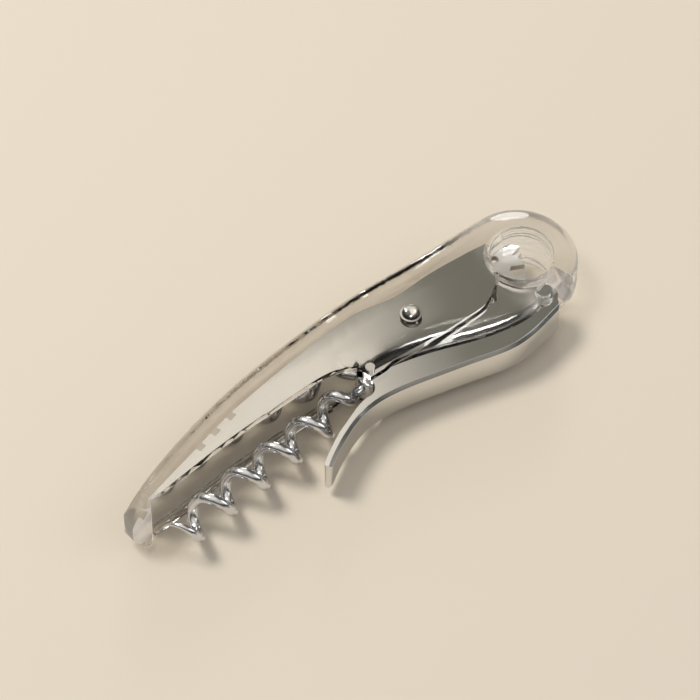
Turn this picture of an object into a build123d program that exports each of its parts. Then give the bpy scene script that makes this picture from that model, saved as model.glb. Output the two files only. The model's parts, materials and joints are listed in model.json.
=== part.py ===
"""Waiter's-type lever corkscrew with a clear handle, lying closed on its side. Millimetres, +Z up.

The plan is drawn about the worm hinge. The part's frame is the same plan moved so that its origin lies on the
flat of the underside. +X runs from the tail to the head, +Y towards the back edge.
"""

import os
from math import atan2, cos, degrees, radians, sin

from build123d import *

# Heights of the stack.
COVER = 2.1
CORE = 12.1
THICK = 2 * COVER + CORE
Z_LOW = COVER
Z_HIGH = COVER + CORE
Z_MID = THICK / 2
PLATE = 1.5

# Where the frame's origin is in the plan.
ORIGIN = (0.0, 9.2)

# Fits and gaps.
RUN_FIT = 0.05
BUSH_END_GAP = 0.2
LEVER_SIDE_GAP = 1.2
SEAM_GAP = 0.5
HUB_END_GAP = 0.1
HUB_GAP = 0.45
OPEN_EDGE = 1.2

# Head and its hole.
HEAD = (54.7, 5.4)
HEAD_MID = (54.8, 7.0)
HEAD_R = 16.4
HOLE_R = 8.5
HOLE_WALL = 0.8
HOLE_RIM = 1.2
RIB = 0.5
RIB_STEP = 2.4

# Lever hinge.
LEVER_DROP = 4.5
LEVER_AT = (HEAD[0] - 2.5, HEAD[1] - HOLE_R - LEVER_DROP)
LEVER_PIN_R = 2.0
LEVER_BUSH_R = 2.6
KNUCKLE_R = 3.7
LEVER_CHAMFER = 0.9
HEEL_R = 12.7

# Worm and its hinge at the origin.
WORM_PIN_R = 1.3
WORM_BUSH_R = 1.8
HUB_R = 3.5
WASHER = 1.3
HUB_H = CORE - 2 * (PLATE + WASHER + HUB_END_GAP)
WORM_TURN = 187.5
WIRE_R = 1.55
COIL_R = 3.8
PITCH = 11.6
FIRST_CREST = 13.4
START_ANGLE = 30
TURNS = 4.59
POINT_TURNS = 0.52

# Rivets and pins.
RIVET_AT = (18.8, 7.0)
RIVET_HEAD_R = 2.9
RIVET_HEAD_H = 0.9
RIVET_R = 1.35
SLEEVE_R = 1.9
BOSS_R = 2.9
RIVET_TIP = 0.55
DISH_R = 5.0
DISH = 0.6
STOP_AT = (30.5, -7.8)
STOP_R = 1.4
SPRING_PIN_AT = (7.3, 14.9)
SPRING_PIN_R = 0.7
SPACER_R = 1.5
SPRING_W = 1.9
STRIP = 1.0
CUTTER = 1.8
DOWEL_R = 0.9
DOWEL_WALL = 0.9

# Back of the handle from the tail to the top of the head.
BACK = [(-74.2, 4.0), (-61.1, 9.8), (-45.8, 14.8), (-30.0, 18.5), (-8.0, 21.7), (13.0, 23.3), (32.0, 23.0)]
# Front of the covers from the head to the arch.
FRONT = [(46.0, -12.0), (36.0, -11.3), (26.0, -8.6), (16.0, -5.2), (6.6, -3.0), (-1.9, -2.45)]
ARCH_MID = (-1.75, -0.5)
# Wall of the worm trough from the arch to the tail.
WALL = [(-2.8, 2.1), (-5.8, 3.2), (-10.0, 4.2), (-18.0, 4.3), (-30.0, 3.7), (-46.0, 2.5), (-62.0, 0.5), (-70.5, -0.2)]
TAIL = [(-74.2, -3.5), (-76.4, -3.5), (-77.8, -1.6), (-77.9, 0.6)]
NOSE_AT = (-68.8, 0.8)
NOSE_L = 9.3

# Metal back edge from the head to the tail.
METAL = [(49.2, 15.1), (38.2, 15.0), (28.1, 15.0), (18.3, 14.6), (9.9, 16.1), (-1.3, 15.8), (-20.0, 13.0),
         (-38.3, 9.7), (-50.3, 6.4), (-60.0, 3.6), (-68.0, 1.4)]

# Lever: outer edge from claw to knuckle, then its inner edge back from the heel to the arch.
OUTER = [(-25.5, -17.9), (-15.7, -12.1), (-6.9, -9.2), (2.8, -9.3), (14.2, -11.5), (25.5, -14.0), (36.6, -16.1),
         (45.0, -15.2), (49.2, -14.2)]
TRIM = [(52.6, -13.3), (53.4, -12.7), (54.0, -11.4)]
CAM = [(44.7, 2.9), (42.3, 0.7), (38.7, -1.5), (35.6, -2.3)]
INNER = [(30.0, -2.6), (22.5, -2.6), (13.4, -2.0), (6.8, -1.7), (3.4, -2.4)]
ARCH = [(-1.5, -2.4), (-1.5, -3.8), (-3.0, -5.7), (-5.3, -6.1)]
CLAW = [(-8.1, -6.6), (-13.1, -8.6), (-17.7, -10.6), (-22.7, -13.4), (-26.4, -15.8)]
CLAW_TIP = (-26.9, -17.6)


def polar(centre, radius, angle):
    """Point at an angle in degrees around a centre."""
    return (centre[0] + radius * cos(radians(angle)), centre[1] + radius * sin(radians(angle)))


def bearing(centre, point):
    """Angle in degrees of a point seen from a centre."""
    return degrees(atan2(point[1] - centre[1], point[0] - centre[0]))


def arc(centre, radius, start, turn):
    """Arc around a centre, from one angle through a signed turn."""
    points = [polar(centre, radius, start + turn * k) for k in (0, 0.5, 1)]
    return ThreePointArc(*points)


def slab(face, low, high):
    """A flat face lifted to a height and given thickness."""
    return extrude(Pos(0, 0, low) * face, high - low, dir=(0, 0, 1))


def disc(at, radius, low, high):
    """A round bar standing at a point between two heights."""
    return Pos(at[0], at[1], (low + high) / 2) * Cylinder(radius, high - low)


def filled(*lines):
    """Flat face inside a closed run of lines."""
    return make_face(Wire([edge for line in lines for edge in line.edges()]))


def shifted(points, dx, dy):
    return [(x + dx, y + dy) for x, y in points]


def head_line():
    """Round of the head, from its back to its front."""
    return arc(HEAD_MID, HEAD_R, 90, -165)


def back_line():
    head = head_line()
    return Spline(BACK + [head @ 0], tangents=[(1, 0.55), head % 0])


def front_line():
    head = head_line()
    return Spline([head @ 1] + FRONT, tangents=[head % 1, (-1, 0.03)])


def handle_face():
    """Plan of a half shell."""
    end = ThreePointArc(FRONT[-1], ARCH_MID, WALL[0])
    wall = Spline(WALL)
    tail = Spline([WALL[-1]] + TAIL + [BACK[0]])
    return filled(back_line(), head_line(), front_line(), end, wall, tail)


def strip_face():
    """Plan of the strip that lines the trough."""
    front = Spline(WALL)
    back = Spline(shifted(WALL, 0, STRIP))
    return filled(front, Line(WALL[-1], back @ 1), back, Line(WALL[0], back @ 0))


def seam():
    """Edge of the fixed frame along the lever: the lever's own edge moved back by the seam gap."""
    cam = shifted(CAM, -0.6 * SEAM_GAP, 0.8 * SEAM_GAP)
    inner = shifted(INNER, 0, SEAM_GAP)
    return cam, inner


def plate_face():
    """Plan of a frame plate."""
    cam, inner = seam()
    hole_r = HOLE_R + 2 * HOLE_WALL
    start = (44.75, 6.0)
    start = polar(HEAD, hole_r, bearing(HEAD, start))
    stop = polar(HEAD, hole_r, bearing(HEAD, METAL[0]))
    turn = bearing(HEAD, stop) - bearing(HEAD, start)
    hole = arc(HEAD, hole_r, bearing(HEAD, start), turn)
    metal = Spline([stop] + METAL[1:])
    back = Spline(shifted(WALL, 0, STRIP))
    edges = [
        hole,
        metal,
        Line(METAL[-1], back @ 1),
        back,
        Polyline(back @ 0, (-1.5, 1.6), (-1.5, -1.95), inner[-1]),
        Polyline(*reversed(inner)),
        Polyline(inner[0], cam[-1]),
        Spline(list(reversed(cam))),
        Line(cam[0], start),
    ]
    return filled(*edges)


def lever_face():
    """Plan of the lever."""
    edges = [
        Spline(OUTER + TRIM[:1]),
        Polyline(*TRIM, polar(LEVER_AT, KNUCKLE_R - 0.3, -40), LEVER_AT, HEAD, CAM[0]),
        Spline(CAM),
        Polyline(CAM[-1], *INNER, ARCH[0]),
        Spline(ARCH),
        Spline([ARCH[-1]] + CLAW),
        ThreePointArc(CLAW[-1], CLAW_TIP, OUTER[0]),
    ]
    face = filled(*edges) + Pos(*LEVER_AT) * Circle(KNUCKLE_R)
    beyond_heel = Pos(LEVER_AT[0] - 10, LEVER_AT[1] + 14) * Rectangle(20, 16) - Pos(*LEVER_AT) * Circle(HEEL_R)
    return face - beyond_heel - Pos(*HEAD) * Circle(HOLE_R + HOLE_WALL + 0.35)


def waist_face():
    """Hole in the upper plate around the body rivet, filled by a boss of the shell."""
    return Pos(*RIVET_AT) * Circle(BOSS_R)


def core_face():
    """All that is let into the shells at core height: the frame and the lever's room through its whole swing."""
    inside = [(-90, -2.2), (-6, -2.0), (-2.9, 1.9), (-1.0, 1.4), (0, 0), (10, 0), (30, -1), (40, 2), (44, 5.5), HEAD]
    outside = [polar(LEVER_AT, 8.7, 12), polar(LEVER_AT, 12.0, -9), (78, -16), (78, -60), (-90, -60)]
    room = make_face(Polyline(*inside, *outside, close=True)) + Pos(*LEVER_AT) * Circle(8.7)
    room -= Pos(*HEAD) * Circle(HOLE_R + HOLE_WALL)
    return room + plate_face() + strip_face() + Circle(HUB_R + HUB_GAP)


def edge_cutter():
    """What the mould rounds off: a full bead at the edge, then a wide shoulder up to the flat."""
    lobe_r, shoulder, steep = 4.2, 5.3, 72
    flat_z = Z_MID + THICK / 2
    lobe_z = THICK / 2 - shoulder
    skin = 0.05
    bead = (0.8, Z_MID)
    side = (skin, Z_MID + lobe_z)
    turn = radians(steep)
    knee = (skin + lobe_r - lobe_r * cos(turn), Z_MID + lobe_z + lobe_r * sin(turn))
    rise = flat_z - knee[1]
    bow = rise / (1 - sin(turn))
    flat = (knee[0] + bow * cos(turn), flat_z)
    half = radians((90 + steep) / 2)
    centre = (flat[0], flat_z - bow)
    crown = (centre[0] - bow * cos(half), centre[1] + bow * sin(half))
    lobe_mid = (skin + lobe_r - lobe_r * cos(turn / 2), side[1] + lobe_r * sin(turn / 2))
    path = [
        Line((-90.0, BACK[0][1] - (90.0 + BACK[0][0]) * 0.55), BACK[0]),
        back_line(),
        head_line(),
        front_line(),
        Line(FRONT[-1], (FRONT[-1][0] - 4, FRONT[-1][1] + 0.12)),
    ]
    rail = Wire(path)
    start = rail @ 0
    plane = Plane(origin=(start.X, start.Y, 0), x_dir=(0.55, -1, 0), z_dir=(-1, -0.55, 0))
    profile = [
        ThreePointArc(bead, (0.17, Z_MID + 1.5), side),
        ThreePointArc(side, lobe_mid, knee),
        ThreePointArc(knee, crown, flat),
        Polyline(flat, (flat[0], flat_z + 3), (-4, flat_z + 3), (-4, Z_MID - 1), (bead[0], Z_MID - 1), bead),
    ]
    face = plane * filled(*profile)
    return sweep(face, path=rail)


def rib_rings():
    """Grip ribs around the right side of the hole."""
    rings = []
    for k in range(3):
        ring = Pos(HEAD[0], HEAD[1], Z_MID + (k + 0.5) * RIB_STEP) * Torus(HOLE_R + 0.25, RIB + 0.25)
        rings.append(ring)
    side = Pos(HEAD[0] + 6.2, HEAD[1], Z_MID + 4) * Box(12, 2 * HOLE_R, 10)
    return (rings[0] + rings[1] + rings[2]) & side


def beyond_nose():
    """What the rounded end of the tail leaves out."""
    nose = Pos(NOSE_AT[0], NOSE_AT[1], Z_MID) * scale(Sphere(1), by=(NOSE_L, 1.5 * NOSE_L, THICK / 2 + 0.6))
    end = Pos(NOSE_AT[0] - 10, NOSE_AT[1], Z_MID) * Box(20, 26, THICK + 4)
    return end - nose


def half_shell():
    """Upper half shell before the metal is let in."""
    body = slab(handle_face(), Z_MID, THICK)
    body -= edge_cutter()
    body -= disc(HEAD, HOLE_R, 0, THICK + 1)
    round_over = Pos(HEAD[0], HEAD[1], THICK - HOLE_RIM) * Torus(HOLE_R + HOLE_RIM, HOLE_RIM)
    body -= disc(HEAD, HOLE_R + HOLE_RIM, THICK - HOLE_RIM, THICK + 1) - round_over
    return body - beyond_nose() + rib_rings()


def trough_lip():
    """Lip of the lower shell that stands out under the worm."""
    inner = Spline(shifted(WALL[2:], 0, STRIP))
    outer = Spline(shifted(WALL[2:], 0, -OPEN_EDGE))
    face = filled(inner, Line(inner @ 1, outer @ 1), outer, Line(inner @ 0, outer @ 0))
    return slab(face, Z_LOW - 1.5, Z_LOW)


def frame_plate(low, opening):
    plate = slab(plate_face(), low, low + PLATE)
    if opening:
        plate -= slab(waist_face(), low - 1, low + PLATE + 1)
    return plate


def back_spring():
    """Leaf that follows the back edge of the plates."""
    face = plate_face() - Pos(0, -SPRING_W) * plate_face()
    reach = Pos(-5, 15) * Rectangle(90, 20)
    return slab(face & reach, Z_LOW + PLATE, Z_HIGH - PLATE)


def spacers():
    spots = [(-32.0, 6.8), (-10.0, 8.8), (36.0, 8.4)]
    return [disc(at, SPACER_R, Z_LOW + PLATE, Z_HIGH - PLATE) for at in spots]


def lug_notches():
    """Notches along the back of the tail plate, each with the lug that sits in it."""
    return [Pos(x, y, Z_HIGH - PLATE / 2) * Rot(0, 0, 17) * Box(2.4, 1.6, PLATE)
            for x, y in ((-38.2, 9.0), (-44.3, 7.4), (-50.2, 5.7))]


def cutter_plate():
    """Toothed plate across the left of the hole, with its root between the frame plates."""
    teeth = [(56.2, 14.1), (57.2, 14.9), (59.3, 11.7), (55.6, 10.6), (58.2, 9.7), (56.5, 8.9), (56.6, 6.0),
             (53.2, 7.7), (51.9, 6.6), (52.2, 4.4), (54.3, 3.7), (56.0, 5.1), (54.7, 3.3), (54.0, 2.5)]
    blade = make_face(Polyline((44.0, 14.0), (52.0, 14.6), (55.0, 15.6), (55.4, 14.2), *teeth, (49.5, -2.5),
                               (44.0, 3.0), close=True))
    blade &= Pos(*HEAD) * Circle(HOLE_R + HOLE_WALL - 0.1)
    end = dowel_line() - 1.6
    root = make_face(Polyline((end, 6.8), (end, 13.0), (49.5, 13.0), (49.5, 6.8), close=True))
    plate = slab(blade + root, Z_MID - CUTTER / 2, Z_MID + CUTTER / 2)
    return plate - disc((51.1, 12.2), 1.2, 0, THICK)


def dowel_line():
    """Place along X of the cutter's dowels, clear of the hole's wall."""
    return HEAD[0] - HOLE_R - HOLE_WALL - DOWEL_WALL - DOWEL_R


def cutter_dowels():
    spots = [(dowel_line(), y) for y in (8.4, 11.6)]
    return [disc(at, DOWEL_R, Z_LOW + PLATE, Z_HIGH - PLATE) for at in spots]


def rivet_upper():
    """Rivet with a dished countersunk head in the upper cover."""
    top = THICK - 0.1
    cone = Pos(*RIVET_AT, top - RIVET_HEAD_H / 2) * Cone(RIVET_R, RIVET_HEAD_R, RIVET_HEAD_H)
    shank = disc(RIVET_AT, RIVET_R, Z_LOW + PLATE + RIVET_TIP, top - RIVET_HEAD_H / 2)
    dish = Pos(*RIVET_AT, top + DISH_R - DISH) * Sphere(DISH_R)
    return cone + shank - dish


def rivet_lower():
    """Sleeve that takes the rivet from below, with the same head."""
    low = 0.1
    cone = Pos(*RIVET_AT, low + RIVET_HEAD_H / 2) * Cone(RIVET_HEAD_R, RIVET_R, RIVET_HEAD_H)
    sleeve = disc(RIVET_AT, SLEEVE_R, low + RIVET_HEAD_H / 2, Z_MID)
    dish = Pos(*RIVET_AT, low - DISH_R + DISH) * Sphere(DISH_R)
    bore = disc(RIVET_AT, RIVET_R, Z_LOW + PLATE + RIVET_TIP, Z_MID + 1)
    return cone + sleeve - dish - bore


def pivot_pin(at, radius):
    return disc(at, radius, 1.0, THICK - 1.0)


def worm_washers():
    low = Z_LOW + PLATE
    high = Z_HIGH - PLATE
    reach = Z_MID - HUB_H / 2 - HUB_END_GAP
    rings = [disc((0, 0), 2.0, low, reach), disc((0, 0), 2.0, THICK - reach, high)]
    return [ring - disc((0, 0), WORM_PIN_R, 0, THICK) for ring in rings]


def lever_arm():
    low = Z_LOW + LEVER_SIDE_GAP
    high = Z_HIGH - LEVER_SIDE_GAP
    arm = slab(lever_face(), low, high)
    outside = [e for e in arm.edges() if abs(e.center().Z - low) < 0.01 or abs(e.center().Z - high) < 0.01]
    outside = [e for e in outside if e.length > 70 and e.center().Y < -8]
    arm = chamfer(outside, LEVER_CHAMFER)
    arm -= disc((0, 0), HUB_R + HUB_GAP, Z_MID - HUB_H / 2 - HUB_GAP, Z_MID + HUB_H / 2 + HUB_GAP)
    arm -= disc(LEVER_AT, LEVER_BUSH_R, 0, THICK)
    return arm - disc(STOP_AT, STOP_R, 0, THICK)


def lever_bush():
    tube = disc(LEVER_AT, LEVER_BUSH_R, Z_LOW + BUSH_END_GAP, Z_HIGH - BUSH_END_GAP)
    return tube - disc(LEVER_AT, LEVER_PIN_R + RUN_FIT, 0, THICK)


def worm_plane():
    """Worm axis through the hinge: local Z points along it, local X is up."""
    return Plane(origin=(0, 0, Z_MID), x_dir=(0, 0, 1), z_dir=(cos(radians(WORM_TURN)), sin(radians(WORM_TURN)), 0))


def ring_at(path, where, radius):
    """Round section square to a path."""
    return Plane(origin=path @ where, z_dir=path % where) * Circle(radius).face()


def worm_wire():
    """Right-handed coil with a bent root and a ground point."""
    lift = Pos(0, 0, FIRST_CREST - PITCH * (90 - START_ANGLE) / 360) * Rot(0, 0, START_ANGLE)
    coil = lift * Helix(pitch=PITCH, height=PITCH * TURNS, radius=COIL_R)
    whole = lift * Helix(pitch=PITCH, height=PITCH * (TURNS + POINT_TURNS), radius=COIL_R)
    point = whole.trim(TURNS / (TURNS + POINT_TURNS), 1)
    bend = (0.8, -1.2, HUB_R + 4.0)
    root = Spline([(0, 0, HUB_R - 0.6), bend, coil @ 0], tangents=[(0, 0, 1), coil % 0])
    shank = Line((0, 0, WORM_BUSH_R + 0.3), (0, 0, HUB_R - 0.6))
    solid = sweep(ring_at(coil, 0, WIRE_R), path=coil, is_frenet=True)
    solid += sweep(ring_at(root, 0, WIRE_R), path=root)
    solid += sweep(ring_at(shank, 0, WIRE_R), path=shank)
    solid += sweep([ring_at(point, 0, WIRE_R), ring_at(point, 1, 0.2)], path=point, multisection=True, is_frenet=True)
    return worm_plane() * solid


def worm_hub(wire):
    hub = disc((0, 0), HUB_R, Z_MID - HUB_H / 2, Z_MID + HUB_H / 2)
    hub = chamfer(hub.edges().filter_by(GeomType.CIRCLE), 0.4)
    hub -= disc((0, 0), WORM_BUSH_R, 0, THICK)
    return hub - wire


def worm_bush():
    tube = disc((0, 0), WORM_BUSH_R, Z_MID - HUB_H / 2, Z_MID + HUB_H / 2)
    return tube - disc((0, 0), WORM_PIN_R + RUN_FIT, 0, THICK)


def together(*solids):
    return Compound(children=[s for item in solids for s in (item if isinstance(item, list) else [item])])


def build():
    pieces = {}
    lever_pin = pivot_pin(LEVER_AT, LEVER_PIN_R)
    worm_pin = pivot_pin((0, 0), WORM_PIN_R)
    spring_pin = disc(SPRING_PIN_AT, SPRING_PIN_R, Z_LOW, Z_HIGH)
    high_plate = frame_plate(Z_HIGH - PLATE, True)
    low_plate = frame_plate(Z_LOW, False)
    spring = back_spring() - spring_pin
    strip = slab(strip_face(), Z_LOW, Z_HIGH)
    cutter = cutter_plate()
    dowels = cutter_dowels()
    rivet_a = rivet_upper()
    rivet_b = rivet_lower()
    lugs = lug_notches()
    wire = worm_wire()

    for lug in lugs:
        high_plate -= lug
    high_plate = high_plate - worm_pin - spring_pin
    low_plate = low_plate - worm_pin - spring_pin - rivet_b
    for dowel in dowels:
        cutter -= dowel

    core = slab(core_face(), Z_LOW, Z_HIGH)
    upper = half_shell()
    lower = mirror(upper, about=Plane.XY.offset(Z_MID))
    lower += trough_lip()
    upper = upper - core + slab(waist_face(), Z_LOW + PLATE, Z_HIGH)
    lower = lower - core
    for piece in [lever_pin, worm_pin, cutter, rivet_a, rivet_b] + lugs:
        upper -= piece
        lower -= piece

    pieces["upper_clear_shell"] = upper
    pieces["lower_clear_shell"] = lower
    pieces["upper_frame_plate"] = high_plate
    pieces["lower_frame_plate"] = low_plate
    pieces["worm_trough_strip"] = strip
    pieces["back_spring"] = spring
    pieces["frame_spacers"] = together(spacers())
    pieces["plate_lugs"] = together(lugs)
    pieces["body_rivet_upper"] = rivet_a
    pieces["body_rivet_lower"] = rivet_b
    pieces["spring_pin"] = spring_pin
    pieces["cutter_plate"] = cutter
    pieces["cutter_dowels"] = together(dowels)
    pieces["lever_pivot_pin"] = lever_pin
    pieces["worm_pivot_pin"] = worm_pin
    pieces["worm_washers"] = together(worm_washers())
    pieces["lever_arm"] = lever_arm()
    pieces["lever_bush"] = lever_bush()
    pieces["lever_stop_pin"] = disc(STOP_AT, STOP_R, Z_LOW + LEVER_SIDE_GAP, Z_HIGH - LEVER_SIDE_GAP)
    pieces["worm"] = wire
    pieces["worm_hub"] = worm_hub(wire)
    pieces["worm_bush"] = worm_bush()
    return pieces


os.makedirs("parts", exist_ok=True)
to_frame = Location((-ORIGIN[0], -ORIGIN[1], 0))
for name, piece in build().items():
    export_step(piece.moved(to_frame), "parts/" + name + ".step")
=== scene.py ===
"""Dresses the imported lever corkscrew: clear moulded handle, polished steel, chromed worm, and its stage."""

import json
import math
from collections import namedtuple

import bmesh
import bpy
from mathutils import Matrix, Vector


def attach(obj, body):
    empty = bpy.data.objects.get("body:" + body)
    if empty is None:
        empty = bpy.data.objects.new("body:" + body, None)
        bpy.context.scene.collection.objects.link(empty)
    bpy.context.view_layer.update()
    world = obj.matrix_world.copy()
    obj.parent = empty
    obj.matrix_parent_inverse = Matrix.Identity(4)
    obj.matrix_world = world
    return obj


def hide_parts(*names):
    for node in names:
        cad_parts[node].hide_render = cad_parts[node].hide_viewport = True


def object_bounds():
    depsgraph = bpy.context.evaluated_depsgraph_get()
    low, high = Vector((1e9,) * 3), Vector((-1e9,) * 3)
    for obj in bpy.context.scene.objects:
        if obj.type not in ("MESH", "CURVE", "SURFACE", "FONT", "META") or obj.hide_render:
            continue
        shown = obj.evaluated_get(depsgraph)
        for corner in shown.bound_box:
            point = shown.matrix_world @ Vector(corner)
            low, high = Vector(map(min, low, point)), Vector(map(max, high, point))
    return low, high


bl_info = {
    "name": "Lever Corkscrew",
    "version": (1, 0, 0),
    "blender": (4, 5, 0),
    "location": "3D View > Sidebar > Corkscrew",
    "description": "Finishes and visible pieces of a waiter's-type lever corkscrew with a clear handle",
    "category": "Object",
}

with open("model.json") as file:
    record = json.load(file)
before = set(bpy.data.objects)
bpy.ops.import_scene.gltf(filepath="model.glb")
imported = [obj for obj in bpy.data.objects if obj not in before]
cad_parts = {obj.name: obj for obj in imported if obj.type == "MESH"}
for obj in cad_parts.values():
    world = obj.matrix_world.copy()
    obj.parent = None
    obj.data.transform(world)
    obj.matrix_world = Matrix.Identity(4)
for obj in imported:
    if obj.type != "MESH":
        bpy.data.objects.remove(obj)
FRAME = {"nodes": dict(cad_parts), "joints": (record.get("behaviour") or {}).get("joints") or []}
CAD_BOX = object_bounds()
MM = 0.001

HANDLE_NODES = ["upper_clear_shell", "lower_clear_shell"]
PLATE_NODES = ["upper_frame_plate", "lower_frame_plate", "back_spring"]
PIN_NODES = ["lever_pivot_pin", "worm_pivot_pin", "lever_stop_pin", "spring_pin"]
RIVET_NODES = ["body_rivet_upper", "body_rivet_lower"]
INNER_NODES = ["frame_spacers", "cutter_dowels", "worm_washers", "lever_bush", "worm_bush"]

# Steel finishes: share of the steel's colour, roughness, depth of the polishing lines and their turn,
# and how much of the colour is left where the steel is clouded.
Finish = namedtuple("Finish", "name nodes bright roughness grain turn dark")
STEELS = (
    Finish("plate_steel", PLATE_NODES, 1.0, 0.05, 0.05, 0.2, 0.86),
    Finish("trough_steel", ["worm_trough_strip"], 1.0, 0.04, 0.08, 0.0, 0.86),
    Finish("lever_steel", ["lever_arm"], 1.0, 0.05, 0.07, -0.2, 0.86),
    Finish("cutter_steel", ["cutter_plate"], 1.0, 0.28, 0.10, 0.4, 0.85),
    Finish("pin_steel", PIN_NODES, 1.0, 0.14, 0.10, 0.0, 0.80),
    Finish("rivet_steel", RIVET_NODES, 1.12, 0.07, 0.06, 0.0, 0.90),
    Finish("turned_steel", INNER_NODES, 0.85, 0.25, 0.15, 0.0, 0.80),
)
LUG_COLOUR = (0.80, 0.74, 0.64)
CHROME_CLOUD = (0.56, 0.57, 0.60)

# Clear plastic. Along X at the end of the tail and round the head hole, a pale milky film is mixed in.
# It is painted light that stands for the bright reflections and gathered light inside the clear plastic
# there.
# Light passes through it to what lies below, less through the thick body than through the ring.
PLASTIC_IOR = 1.49
TAIL_FROM, TAIL_TO = -66 * MM, -74 * MM
RING_FROM, RING_TO = 44 * MM, 60 * MM
PAINTED_LIGHT_MILK = (0.93, 0.92, 0.93)
BODY_LIGHT = (0.70, 0.67, 0.63)
RING_LIGHT = (0.92, 0.91, 0.89)
LIGHT_SHARE = 0.92

# Meshes: how far apart doubles may lie, how far the clear body stands off the metal, and the angles at
# which an edge of the body stays sharp, a flat of the lever counts as one face and its edge is rounded.
SEAM_REACH = 1e-7
WELD_REACH = 2e-6
CLEAR_GAP = 0.03 * MM
CREASE = math.radians(28)
SAME_FLAT = math.radians(0.4)
HARD_EDGE = math.radians(32)
EDGE_ROUND = 0.35 * MM
EDGE_STEPS = 3
SHADE_WEIGHT = 100
# A face is level when its normal and its rise keep within these, and nearly level at the outer flats.
LEVEL, LEVEL_RISE = 0.9995, 0.05 * MM
NEAR_LEVEL, RIM_RISE = 0.9, 0.02 * MM

# Worm: its direction when folded, and the fineness of its wire.
WORM_TURN = math.radians(187.5)
WIRE_STEPS = 520
WIRE_SIDES = 24
POINT_SHARE = 0.13

# What shiny surfaces see: the room from the floor up, and the card from the tail to the head.
ROOM = [(0.0, (0.66, 0.62, 0.55)), (0.13, (0.55, 0.52, 0.46)), (0.26, (0.09, 0.09, 0.085)),
        (0.46, (0.10, 0.10, 0.095)), (0.70, (0.80, 0.75, 0.67)), (1.0, (1.0, 0.96, 0.88))]
CARD = [(0.0, (1.0, 0.95, 0.86)), (0.46, (0.96, 0.89, 0.78)), (0.54, (0.50, 0.47, 0.41)),
        (0.60, (0.22, 0.21, 0.175)), (1.0, (0.13, 0.13, 0.11))]
CARD_HALF = 0.30
CARD_SLANT = 0.35
CARD_REACH = 0.20
SKY_COLOUR = (0.95, 0.96, 1.0)
BACKDROP_COLOUR, BACKDROP_LIGHT = (0.80, 0.76, 0.70), 0.9
ROOM_LIGHT, PATCH_LIGHT = 0.55, 0.5

# Lamps: name, setting of its power, place, size and colour.
LAMPS = (
    ("key", "key_watts", (-0.45, 0.62, 1.35), 0.55, (1.0, 0.975, 0.94)),
    ("fill", "fill_watts", (0.9, -0.7, 0.9), 0.9, (0.94, 0.97, 1.0)),
    ("gloss", "gloss_watts", (0.72, 0.92, 0.40), 0.36, (1.0, 0.99, 0.97)),
)
FLOOR_REACH = 6.0
FLOOR_GAP = 0.02 * MM
LENS, SENSOR, VIEW_END = 205.0, 36.0, 30.0
AIM = (6 * MM, 7.5 * MM, 0.0)

# Sockets of the Mix node when it mixes colours.
MIX_FACTOR, MIX_FIRST, MIX_SECOND, MIX_RESULT = 0, 6, 7, 2


def hinge(name):
    """Where a joint of the frame turns, in metres."""
    for joint in FRAME["joints"]:
        if joint["name"] == name:
            return Vector(joint["pos_m"])
    raise RuntimeError("no joint " + name)


def shaded(colour, share):
    """A colour made darker or brighter, and never brighter than white."""
    return tuple(min(1.0, part * share) for part in colour)


def placed(name, mesh):
    """A new object at the origin."""
    piece = bpy.data.objects.new(name, mesh)
    bpy.context.scene.collection.objects.link(piece)
    return piece


def settled(piece, name):
    """The mesh that a loose object's modifiers make. The object itself is removed."""
    evaluated = piece.evaluated_get(bpy.context.evaluated_depsgraph_get())
    mesh = bpy.data.meshes.new_from_object(evaluated)
    mesh.name = name
    bpy.data.objects.remove(piece)
    return mesh


class Value:
    """A number that varies over a surface. Its operators add Math nodes."""

    def __init__(self, graph, socket):
        self.graph = graph
        self.socket = socket

    def _math(self, operation, first, second):
        return self.graph.node("ShaderNodeMath", {"operation": operation}, {0: first, 1: second})

    def __add__(self, other):
        return self._math("ADD", self, other)

    def __radd__(self, other):
        return self._math("ADD", other, self)

    def __sub__(self, other):
        return self._math("SUBTRACT", self, other)

    def __rsub__(self, other):
        return self._math("SUBTRACT", other, self)

    def __mul__(self, other):
        return self._math("MULTIPLY", self, other)

    def __rmul__(self, other):
        return self._math("MULTIPLY", other, self)

    def clip(self):
        """The number kept between 0 and 1."""
        return self._math("MINIMUM", self._math("MAXIMUM", self, 0.0), 1.0)


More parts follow.
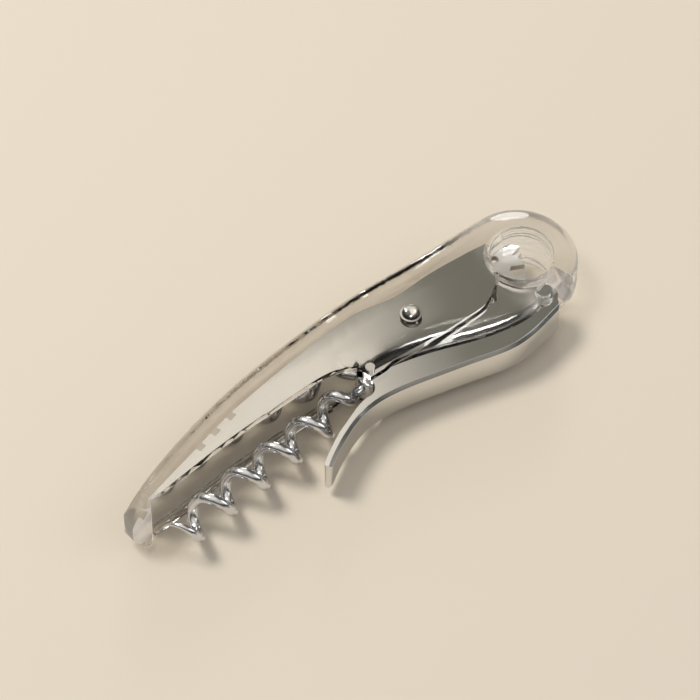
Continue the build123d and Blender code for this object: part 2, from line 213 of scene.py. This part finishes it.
class Graph:
    """Nodes of a material, or of the world."""

    def __init__(self, name, world=False):
        kinds = bpy.data.worlds if world else bpy.data.materials
        self.owner = kinds.new(name)
        self.owner.use_nodes = True
        self.tree = self.owner.node_tree
        self.tree.nodes.clear()
        self.place = self.node("ShaderNodeTexCoord", {}, {}, "Generated" if world else "Object")

    def put(self, socket, value):
        """Links a value to a socket, or sets the socket to a constant."""
        if isinstance(value, Value):
            self.tree.links.new(value.socket, socket)
        else:
            socket.default_value = value

    def node(self, kind, settings, inputs, output=0):
        """Any node: its settings first, a ramp's stops among them, and then its sockets."""
        made = self.tree.nodes.new(kind)
        for name, value in settings.items():
            if name == "stops":
                ramp = made.color_ramp
                while len(ramp.elements) < len(value):
                    ramp.elements.new(0.5)
                for element, (at, colour) in zip(ramp.elements, value):
                    element.position = at
                    element.color = (*colour, 1.0)
            else:
                setattr(made, name, value)
        for name, value in inputs.items():
            self.put(made.inputs[name], value)
        return Value(self, made.outputs[output]) if made.outputs else None

    def along(self, axis):
        """One coordinate of the place."""
        return self.node("ShaderNodeSeparateXYZ", {}, {0: self.place}, axis)

    def stretched(self, scale, turn=0.0):
        """Object coordinates scaled along each axis and turned about Z."""
        inputs = {"Vector": self.place, "Scale": scale, "Rotation": (0.0, 0.0, turn)}
        return self.node("ShaderNodeMapping", {}, inputs)

    def noise(self, scale, detail, where=None):
        """Soft random pattern."""
        inputs = {"Vector": where or self.place, "Scale": scale, "Detail": detail}
        return self.node("ShaderNodeTexNoise", {}, inputs)

    def grey(self, value, low, high):
        """A ramp from 0 to 1 between two levels."""
        inputs = {"Value": value, "From Min": low, "From Max": high}
        return self.node("ShaderNodeMapRange", {"clamp": True}, inputs)

    def ramp(self, value, stops):
        """A ramp of colours."""
        return self.node("ShaderNodeValToRGB", {"stops": stops}, {"Fac": value})

    def blend(self, factor, first, second):
        """A colour between two colours."""
        inputs = {MIX_FACTOR: factor, MIX_FIRST: (*first, 1.0), MIX_SECOND: (*second, 1.0)}
        return self.node("ShaderNodeMix", {"data_type": "RGBA"}, inputs, MIX_RESULT)

    def bump(self, height, strength, depth):
        """Fine relief, for the normal."""
        inputs = {"Height": height, "Strength": strength, "Distance": depth}
        return self.node("ShaderNodeBump", {}, inputs)

    def rays(self, *kinds):
        """1 for rays of the given kinds, 0 for all others."""
        total, *others = [self.node("ShaderNodeLightPath", {}, {}, kind) for kind in kinds]
        for other in others:
            total = total + other
        return total.clip()

    def reflected(self):
        """1 for rays that a shiny or clear surface sends on, 0 for all others."""
        return self.rays("Is Glossy Ray", "Is Transmission Ray")

    def shader(self, inputs):
        """The surface itself."""
        return self.node("ShaderNodeBsdfPrincipled", {}, inputs)

    def film(self, kind, colour):
        """A surface that only passes light on, evenly coloured."""
        return self.node(kind, {}, {"Color": (*colour, 1.0)})

    def mix(self, factor, first, second):
        """Two shaders, with the second one's share as the factor."""
        return self.node("ShaderNodeMixShader", {}, {0: factor, 1: first, 2: second})

    def finish(self, shader):
        """Ends the nodes and returns the material or the world."""
        world = isinstance(self.owner, bpy.types.World)
        self.node("ShaderNodeOutputWorld" if world else "ShaderNodeOutputMaterial", {}, {"Surface": shader})
        return self.owner


def clear_plastic(look):
    """Moulded clear plastic: slightly warm, with faint flow marks and fine handling scratches."""
    g = Graph("clear_plastic")
    flow = g.noise(scale=38.0, detail=2.0, where=g.stretched((0.35, 1.0, 1.0)))
    scuff = g.noise(scale=900.0, detail=3.0, where=g.stretched((0.08, 1.0, 1.0), turn=0.5))
    scratch = g.grey(scuff, low=0.66, high=0.78)
    tint = tuple(look.plastic_tint)
    bump = g.bump(flow, strength=0.12, depth=0.4 * MM)
    tail = g.grey(g.along("X"), TAIL_FROM, TAIL_TO)
    ring = g.grey(g.along("X"), RING_FROM, RING_TO)
    clear = g.shader({
        "Base Color": g.blend(flow, tint, shaded(tint, 0.965)),
        "Roughness": look.plastic_roughness + scratch * 0.06 + tail * look.frost,
        "IOR": PLASTIC_IOR,
        "Transmission Weight": 1.0,
        "Normal": bump,
    })
    # Pale milky film at the tail end and round the head hole: painted light that stands for the plastic's
    # inner reflections.
    painted_light = g.film("ShaderNodeBsdfTranslucent", PAINTED_LIGHT_MILK)
    body = g.mix(tail * look.tail_painted_light + ring * look.ring_painted_light, clear, painted_light)
    thick = g.film("ShaderNodeBsdfTransparent", BODY_LIGHT)
    thin = g.film("ShaderNodeBsdfTransparent", RING_LIGHT)
    lit = g.rays("Is Shadow Ray", "Is Diffuse Ray") * LIGHT_SHARE
    return g.finish(g.mix(lit, body, g.mix(ring, thick, thin)))


def steel(finish, colour):
    """Polished steel with faint polishing lines, slight clouding and a few wiped marks."""
    g = Graph(finish.name)
    lines = g.noise(scale=1400.0, detail=2.0, where=g.stretched((0.03, 1.0, 1.0), finish.turn))
    cloud = g.noise(scale=60.0, detail=3.0)
    smear = g.noise(scale=180.0, detail=4.0, where=g.stretched((0.3, 1.0, 0.6), turn=0.9))
    wipe = g.grey(smear, low=0.55, high=0.75)
    tone = shaded(colour, finish.bright)
    return g.finish(g.shader({
        "Base Color": g.blend((cloud * 0.6 + wipe * 0.4).clip(), tone, shaded(tone, finish.dark)),
        "Metallic": 1.0,
        "Roughness": (finish.roughness + lines * finish.grain + wipe * 0.04).clip(),
        "Normal": g.bump(lines + cloud * 0.6, strength=0.10, depth=0.05 * MM),
    }))


def bright_chrome(look):
    """Chromed wire: bright, with a slight dulling and drawing lines."""
    g = Graph("worm_chrome")
    cloud = g.noise(scale=220.0, detail=3.0)
    draw = g.noise(scale=2500.0, detail=2.0)
    return g.finish(g.shader({
        "Base Color": g.blend(cloud, tuple(look.worm_colour), CHROME_CLOUD),
        "Metallic": 1.0,
        "Roughness": 0.07 + cloud * 0.06 + draw * 0.03,
        "Normal": g.bump(cloud, strength=0.06, depth=0.1 * MM),
    }))


def lug_plastic():
    """Small glossy moulding with a slightly uneven gloss."""
    g = Graph("lug_plastic")
    cloud = g.noise(scale=500.0, detail=2.0)
    return g.finish(g.shader({
        "Base Color": g.blend(cloud, LUG_COLOUR, shaded(LUG_COLOUR, 0.9)),
        "Roughness": 0.18 + cloud * 0.1,
        "Normal": g.bump(cloud, strength=0.1, depth=0.1 * MM),
    }))


def floor_paint(look):
    """Plain pale matt floor."""
    g = Graph("floor_paint")
    cloud = g.noise(scale=2.0, detail=2.0)
    tone = tuple(look.floor_colour)
    return g.finish(g.shader({
        "Base Color": g.blend(cloud, tone, shaded(tone, 0.985)),
        "Roughness": 0.75 + cloud * 0.05,
    }))


def clothe(names, material):
    """Gives frame nodes their finish."""
    for name in names:
        node = FRAME["nodes"][name]
        node.data.materials.clear()
        node.data.materials.append(material)


class Tree:
    """A Geometry Nodes tree with named sizes."""

    def __init__(self, name, sizes):
        self.group = bpy.data.node_groups.new(name, "GeometryNodeTree")
        sockets = self.group.interface
        sockets.new_socket("Geometry", in_out="OUTPUT", socket_type="NodeSocketGeometry")
        for size, value in sizes.items():
            socket = sockets.new_socket(size, in_out="INPUT", socket_type="NodeSocketFloat")
            socket.default_value = value
        self.entry = self.group.nodes.new("NodeGroupInput")

    def given(self, name):
        """One of the sizes."""
        return self.entry.outputs[name]

    def node(self, kind, settings=None, inputs=None, output=0):
        """Any node: its settings, and the values or links of its sockets."""
        made = self.group.nodes.new(kind)
        for name, value in (settings or {}).items():
            setattr(made, name, value)
        for name, value in (inputs or {}).items():
            socket = made.inputs[name]
            if isinstance(value, bpy.types.NodeSocket):
                self.group.links.new(value, socket)
            else:
                socket.default_value = value
        return made.outputs[output]

    def math(self, operation, first, second=0.0):
        """One sum."""
        return self.node("ShaderNodeMath", {"operation": operation}, {0: first, 1: second})

    def finish(self, geometry, material):
        """Ends the tree with real, coated geometry."""
        real = self.node("GeometryNodeRealizeInstances", None, {0: geometry})
        coated = self.node("GeometryNodeSetMaterial", None, {"Geometry": real, "Material": material})
        out = self.group.nodes.new("NodeGroupOutput")
        self.group.links.new(coated, out.inputs[0])

    def mesh(self, name, place):
        """Runs the tree on an empty mesh and keeps the result as a plain object."""
        source = placed(name + "_source", bpy.data.meshes.new(name + "_source"))
        source.modifiers.new(name, "NODES").node_group = self.group
        made = settled(source, name)
        made.transform(place)
        return placed(name, made)


def merged_copy(node, name):
    """A loose copy of a frame node with its seams closed."""
    source = FRAME["nodes"][node]
    mesh = source.data.copy()
    mesh.transform(source.matrix_world)
    work = bmesh.new()
    work.from_mesh(mesh)
    bmesh.ops.remove_doubles(work, verts=work.verts, dist=SEAM_REACH)
    work.to_mesh(mesh)
    work.free()
    return placed(name, mesh)


def level_flats(mesh):
    """Sets the shading of all level faces upright, so that they look flat up to their rounded borders."""
    heights = [vert.co.z for vert in mesh.vertices]
    low, high = min(heights), max(heights)
    normals = [Vector(normal.vector) for normal in mesh.corner_normals]
    for face in mesh.polygons:
        rise = face.normal.z
        upright = Vector((0.0, 0.0, math.copysign(1.0, rise)))
        levels = [heights[vert] for vert in face.vertices]
        level = abs(rise) > LEVEL and max(levels) - min(levels) < LEVEL_RISE
        for corner in face.loop_indices:
            height = heights[mesh.loops[corner].vertex_index]
            top_rim = rise > NEAR_LEVEL and high - height < RIM_RISE
            low_rim = rise < -NEAR_LEVEL and height - low < RIM_RISE
            if level or top_rim or low_rim:
                normals[corner] = upright
    mesh.normals_split_custom_set(normals)


def welded_handle():
    """The two half shells welded into one clear body that stands a hair clear of the metal in it."""
    upper = merged_copy("upper_clear_shell", "clear_upper")
    lower = merged_copy("lower_clear_shell", "clear_lower")
    weld = upper.modifiers.new("weld", "BOOLEAN")
    weld.operation = "UNION"
    weld.solver = "EXACT"
    weld.object = lower
    mesh = settled(upper, "clear_rough")
    bpy.data.objects.remove(lower)
    work = bmesh.new()
    work.from_mesh(mesh)
    bmesh.ops.remove_doubles(work, verts=work.verts, dist=WELD_REACH)
    bmesh.ops.dissolve_degenerate(work, edges=work.edges, dist=WELD_REACH)
    work.normal_update()
    moves = [(vert, vert.normal.copy()) for vert in work.verts]
    for vert, normal in moves:
        vert.co -= normal * CLEAR_GAP
    for face in work.faces:
        face.smooth = True
    work.to_mesh(mesh)
    work.free()
    mesh.materials.clear()
    mesh.set_sharp_from_angle(angle=CREASE)
    rough = placed("clear_rough", mesh)
    even = rough.modifiers.new("even", "WEIGHTED_NORMAL")
    even.keep_sharp = True
    even.weight = SHADE_WEIGHT
    body = settled(rough, "clear_handle")
    level_flats(body)
    return placed("clear_handle", body)


def softened(node, name):
    """A copy of a frame node whose hard edges are broken by a small round."""
    piece = merged_copy(node, name + "_raw")
    work = bmesh.new()
    work.from_mesh(piece.data)
    bmesh.ops.dissolve_limit(work, angle_limit=SAME_FLAT, verts=work.verts, edges=work.edges)
    work.to_mesh(piece.data)
    work.free()
    edge = piece.modifiers.new("edge", "BEVEL")
    edge.limit_method = "ANGLE"
    edge.angle_limit = HARD_EDGE
    edge.width = EDGE_ROUND
    edge.segments = EDGE_STEPS
    edge.use_clamp_overlap = True
    edge.miter_outer = "MITER_ARC"
    piece.modifiers.new("even", "WEIGHTED_NORMAL").weight = SHADE_WEIGHT
    for face in piece.data.polygons:
        face.use_smooth = True
    made = settled(piece, name)
    made.materials.clear()
    return placed(name, made)


def coil_tree(size, material):
    """Worm wire: a straight root that eases out into a coil and ends in a ground point."""
    tree = Tree("worm_wire", {
        "Wire radius": size.wire_radius * MM,
        "Coil radius": size.coil_radius * MM,
        "Pitch": size.pitch * MM,
        "Coil start": size.coil_start * MM,
        "Length": size.length * MM,
        "Root": size.root * MM,
    })
    ease = size.ease * MM
    top = tree.node("ShaderNodeCombineXYZ", None, {"Z": tree.given("Length")})
    low = tree.node("ShaderNodeCombineXYZ", None, {"Z": tree.given("Root")})
    line = tree.node("GeometryNodeCurvePrimitiveLine", None, {"Start": low, "End": top})
    points = tree.node("GeometryNodeResampleCurve", None, {"Curve": line, "Count": WIRE_STEPS})
    at = tree.node("GeometryNodeInputPosition")
    along = tree.node("ShaderNodeSeparateXYZ", None, {0: at}, "Z")
    ahead = tree.math("SUBTRACT", along, tree.given("Coil start"))

    # The turning starts gently over the eased length and then keeps the pitch.
    back = tree.math("MINIMUM", tree.math("MAXIMUM", ahead, -ease), 0.0)
    eased = tree.math("ADD", back, tree.math("DIVIDE", tree.math("MULTIPLY", back, back), 2 * ease))
    run = tree.math("ADD", tree.math("MAXIMUM", ahead, 0.0), eased)
    turn = tree.math("DIVIDE", tree.math("MULTIPLY", run, 2 * math.pi), tree.given("Pitch"))
    turn = tree.math("ADD", turn, math.radians(size.start_angle))
    reach = {"Value": ahead, "From Min": -ease, "From Max": 0.0, "To Max": tree.given("Coil radius")}
    out = tree.node("ShaderNodeMapRange", {"interpolation_type": "SMOOTHSTEP"}, reach)
    spot = tree.node("ShaderNodeCombineXYZ", None, {
        "X": tree.math("MULTIPLY", out, tree.math("COSINE", turn)),
        "Y": tree.math("MULTIPLY", out, tree.math("SINE", turn)),
        "Z": along,
    })
    coil = tree.node("GeometryNodeSetPosition", None, {"Geometry": points, "Position": spot})

    # The wire thins towards its point.
    left = tree.math("SUBTRACT", tree.given("Length"), along)
    thin = {"Value": left, "From Min": 0.0, "From Max": size.point * MM, "To Min": POINT_SHARE, "To Max": 1.0}
    taper = tree.node("ShaderNodeMapRange", {"interpolation_type": "LINEAR"}, thin)
    sized = tree.node("GeometryNodeSetCurveRadius", None, {"Curve": coil, "Radius": taper})
    round_wire = {"Resolution": WIRE_SIDES, "Radius": tree.given("Wire radius")}
    ring = tree.node("GeometryNodeCurvePrimitiveCircle", None, round_wire)
    radius = tree.node("GeometryNodeInputRadius")
    sweep = {"Curve": sized, "Profile Curve": ring, "Scale": radius, "Fill Caps": True}
    wire = tree.node("GeometryNodeCurveToMesh", None, sweep)
    tree.finish(tree.node("GeometryNodeSetShadeSmooth", None, {0: wire}), material)
    return tree


def square(name, half, facing_down=False):
    """A level square around its own middle."""
    corners = [(-half, -half, 0), (half, -half, 0), (half, half, 0), (-half, half, 0)]
    mesh = bpy.data.meshes.new(name)
    mesh.from_pydata(corners, [], [(3, 2, 1, 0) if facing_down else (0, 1, 2, 3)])
    return placed(name, mesh)


class CorkscrewLook(bpy.types.PropertyGroup):
    """Colours and gloss."""

    plastic_tint: bpy.props.FloatVectorProperty(
        name="Plastic tint", description="Colour of the clear plastic",
        subtype="COLOR", default=(0.99, 0.985, 0.975))
    plastic_roughness: bpy.props.FloatProperty(
        name="Plastic roughness", description="Blur of the clear plastic",
        default=0.02, min=0.0, max=1.0)
    frost: bpy.props.FloatProperty(
        name="Frost", description="Added blur at the end of the tail",
        default=0.22, min=0.0, max=1.0)
    # Share of the pale film at the tail end: painted light for the plastic's inner reflections.
    tail_painted_light: bpy.props.FloatProperty(
        name="Haze", description="Share of milky plastic at the end of the tail",
        default=0.5, min=0.0, max=1.0)
    # Share of the pale film round the head hole: painted light for the plastic's gathered light.
    ring_painted_light: bpy.props.FloatProperty(
        name="Ring haze", description="Share of milky plastic around the head hole",
        default=0.18, min=0.0, max=1.0)
    steel_colour: bpy.props.FloatVectorProperty(
        name="Steel colour", description="Colour of the polished steel",
        subtype="COLOR", default=(0.79, 0.78, 0.76))
    worm_colour: bpy.props.FloatVectorProperty(
        name="Worm colour", description="Colour of the chromed wire",
        subtype="COLOR", default=(0.80, 0.80, 0.82))
    floor_colour: bpy.props.FloatVectorProperty(
        name="Floor colour", description="Colour of the floor",
        subtype="COLOR", default=(0.74, 0.655, 0.525))


class CorkscrewWorm(bpy.types.PropertyGroup):
    """Sizes of the worm, in millimetres from its hinge."""

    wire_radius: bpy.props.FloatProperty(
        name="Wire radius", description="Half the wire, mm", default=1.55)
    coil_radius: bpy.props.FloatProperty(
        name="Coil radius", description="Hinge line to wire middle, mm", default=3.8)
    pitch: bpy.props.FloatProperty(
        name="Pitch", description="Advance in one turn, mm", default=11.6)
    coil_start: bpy.props.FloatProperty(
        name="Coil start", description="Where the coil is full size, mm", default=11.47)
    length: bpy.props.FloatProperty(
        name="Length", description="Hinge to point, mm", default=70.74)
    start_angle: bpy.props.FloatProperty(
        name="Start angle", description="Where on the coil it starts, degrees", default=30.0)
    ease: bpy.props.FloatProperty(
        name="Ease", description="Length over which the root opens out, mm", default=6.5)
    root: bpy.props.FloatProperty(
        name="Root", description="Where the wire leaves the hub, mm", default=2.2)
    point: bpy.props.FloatProperty(
        name="Point", description="Length of the ground point, mm", default=6.03)


class CorkscrewStage(bpy.types.PropertyGroup):
    """Camera and lamps."""

    azimuth: bpy.props.FloatProperty(
        name="Azimuth", description="Camera angle round the object",
        subtype="ANGLE", default=math.radians(-37))
    elevation: bpy.props.FloatProperty(
        name="Elevation", description="Camera angle above the floor",
        subtype="ANGLE", default=math.radians(53))
    distance: bpy.props.FloatProperty(
        name="Distance", description="Camera to its aim", subtype="DISTANCE", default=1.063)
    key_watts: bpy.props.FloatProperty(
        name="Key lamp", description="Power of the key lamp", subtype="POWER", default=14.0)
    fill_watts: bpy.props.FloatProperty(
        name="Fill lamp", description="Power of the fill", subtype="POWER", default=3.0)
    gloss_watts: bpy.props.FloatProperty(
        name="Gloss lamp", description="Power of the low lamp behind", subtype="POWER", default=2.4)
    sky: bpy.props.FloatProperty(
        name="Sky", description="Strength of the room light", default=0.45)
    card_height: bpy.props.FloatProperty(
        name="Card height", description="Reflector above the floor", subtype="DISTANCE", default=0.35)


class CORKSCREW_OT_stage(bpy.types.Operator):
    """Lay the floor, light it and aim the camera"""

    bl_idname = "corkscrew.stage"
    bl_label = "Stage"

    def execute(self, context):
        scene = context.scene
        stage = scene.corkscrew_stage
        flat = math.cos(stage.elevation)
        viewer = Vector((math.sin(stage.azimuth) * flat, -math.cos(stage.azimuth) * flat,
                         math.sin(stage.elevation)))

        floor = square("floor", FLOOR_REACH)
        floor.location.z = CAD_BOX[0][2] - FLOOR_GAP
        floor.data.materials.append(floor_paint(scene.corkscrew_look))

        scene.world = self.sky(stage)
        self.card(stage, viewer)
        for name, power, at, size, colour in LAMPS:
            self.lamp(scene, name, getattr(stage, power), at, size, colour)
        self.camera(scene, stage, viewer)
        scene.view_settings.view_transform = "Standard"
        return {"FINISHED"}

    def sky(self, stage):
        """Even room light; shiny surfaces see a bright ceiling, dark walls and a few darker patches."""
        g = Graph("room", world=True)
        seen = g.ramp(g.along("Z").clip(), ROOM)
        patch = g.grey(g.noise(scale=1.9, detail=1.0), low=0.35, high=0.62)

        def light(colour, strength):
            return g.node("ShaderNodeBackground", {}, {"Color": colour, "Strength": strength})

        dull = light((*SKY_COLOUR, 1.0), stage.sky)
        shiny = light(seen, ROOM_LIGHT + patch * PATCH_LIGHT)
        plain = light((*BACKDROP_COLOUR, 1.0), BACKDROP_LIGHT)
        mixed = g.mix(g.reflected(), dull, shiny)
        return g.finish(g.mix(g.rays("Is Camera Ray"), mixed, plain))

    def card(self, stage, viewer):
        """Glowing card above the object that only shiny and clear surfaces see, a painted reflection: cream
        over the tail, darker towards the head.
        """
        g = Graph("card_paper")
        across = g.along("X") - g.along("Y") * CARD_SLANT
        tone = g.ramp(g.grey(across, -CARD_REACH, CARD_REACH), CARD)
        glow = g.node("ShaderNodeEmission", {}, {"Color": tone})
        clear = g.node("ShaderNodeBsdfTransparent", {}, {})
        card = square("card", CARD_HALF, facing_down=True)
        card.data.materials.append(g.finish(g.mix(g.reflected(), clear, glow)))
        mirrored = Vector((-viewer.x, -viewer.y, viewer.z))
        card.location = mirrored * (stage.card_height / mirrored.z)

    def lamp(self, scene, name, watts, at, size, colour):
        """A round soft lamp that shines at the object."""
        light = bpy.data.lights.new(name, "AREA")
        light.shape = "DISK"
        light.size = size
        light.energy = watts
        light.color = colour
        lamp = bpy.data.objects.new(name, light)
        lamp.location = at
        lamp.rotation_euler = (-Vector(at)).to_track_quat("-Z", "Y").to_euler()
        scene.collection.objects.link(lamp)

    def camera(self, scene, stage, viewer):
        """The camera, aimed at the middle of the object."""
        camera = bpy.data.cameras.new("camera")
        camera.lens = LENS
        camera.sensor_width = SENSOR
        camera.clip_end = VIEW_END
        eye = bpy.data.objects.new("camera", camera)
        scene.collection.objects.link(eye)
        eye.location = Vector(AIM) + viewer * stage.distance
        eye.rotation_euler = (-viewer).to_track_quat("-Z", "Y").to_euler()
        scene.camera = eye


class CORKSCREW_OT_handle(bpy.types.Operator):
    """Weld and finish the clear handle"""

    bl_idname = "corkscrew.handle"
    bl_label = "Handle"

    def execute(self, context):
        plastic = clear_plastic(context.scene.corkscrew_look)
        clothe(HANDLE_NODES, plastic)
        body = welded_handle()
        body.data.materials.append(plastic)
        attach(body, "handle")
        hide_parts(*HANDLE_NODES)
        clothe(["plate_lugs"], lug_plastic())
        return {"FINISHED"}


class CORKSCREW_OT_steel(bpy.types.Operator):
    """Finish the plates, trough, lever, cutter and pins"""

    bl_idname = "corkscrew.steel"
    bl_label = "Steel"

    def execute(self, context):
        colour = tuple(context.scene.corkscrew_look.steel_colour)
        made = {}
        for finish in STEELS:
            made[finish.name] = steel(finish, colour)
            clothe(finish.nodes, made[finish.name])
        lever = softened("lever_arm", "lever")
        lever.data.materials.append(made["lever_steel"])
        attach(lever, "lever")
        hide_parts("lever_arm")
        return {"FINISHED"}


class CORKSCREW_OT_worm(bpy.types.Operator):
    """Make the worm's wire and finish its hub"""

    bl_idname = "corkscrew.worm"
    bl_label = "Worm"

    def execute(self, context):
        scene = context.scene
        chrome = bright_chrome(scene.corkscrew_look)
        clothe(["worm_hub", "worm"], chrome)
        along = Vector((math.cos(WORM_TURN), math.sin(WORM_TURN), 0.0))
        up = Vector((0.0, 0.0, 1.0))
        side = along.cross(up)
        place = Matrix((up, side, along)).transposed().to_4x4()
        place.translation = hinge("worm_hinge")
        wire = coil_tree(scene.corkscrew_worm, chrome).mesh("worm_wire", place)
        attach(wire, "worm")
        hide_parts("worm")
        return {"FINISHED"}


class CORKSCREW_PT_panel(bpy.types.Panel):
    """The corkscrew's pieces and sizes"""

    bl_idname = "CORKSCREW_PT_panel"
    bl_label = "Lever corkscrew"
    bl_space_type = "VIEW_3D"
    bl_region_type = "UI"
    bl_category = "Corkscrew"

    def draw(self, context):
        for operator in OPERATORS:
            self.layout.operator(operator.bl_idname)
        for name in GROUPS:
            group = getattr(context.scene, name)
            for prop in group.bl_rna.properties:
                if prop.identifier not in ("rna_type", "name"):
                    self.layout.prop(group, prop.identifier)


OPERATORS = (CORKSCREW_OT_stage, CORKSCREW_OT_handle, CORKSCREW_OT_steel, CORKSCREW_OT_worm)
GROUPS = {
    "corkscrew_look": CorkscrewLook,
    "corkscrew_worm": CorkscrewWorm,
    "corkscrew_stage": CorkscrewStage,
}


def register():
    for kind in (*GROUPS.values(), *OPERATORS, CORKSCREW_PT_panel):
        bpy.utils.register_class(kind)
    for name, kind in GROUPS.items():
        setattr(bpy.types.Scene, name, bpy.props.PointerProperty(type=kind))


def unregister():
    for name in GROUPS:
        delattr(bpy.types.Scene, name)
    for kind in (CORKSCREW_PT_panel, *reversed(OPERATORS), *reversed(GROUPS.values())):
        bpy.utils.unregister_class(kind)


def plain(bounds):
    """Bounds as plain lists of numbers."""
    return [[float(number) for number in corner] for corner in bounds]


def main():
    register()
    bpy.ops.corkscrew.stage()
    bpy.ops.corkscrew.handle()
    bpy.ops.corkscrew.steel()
    bpy.ops.corkscrew.worm()


if __name__ == "__main__":
    main()
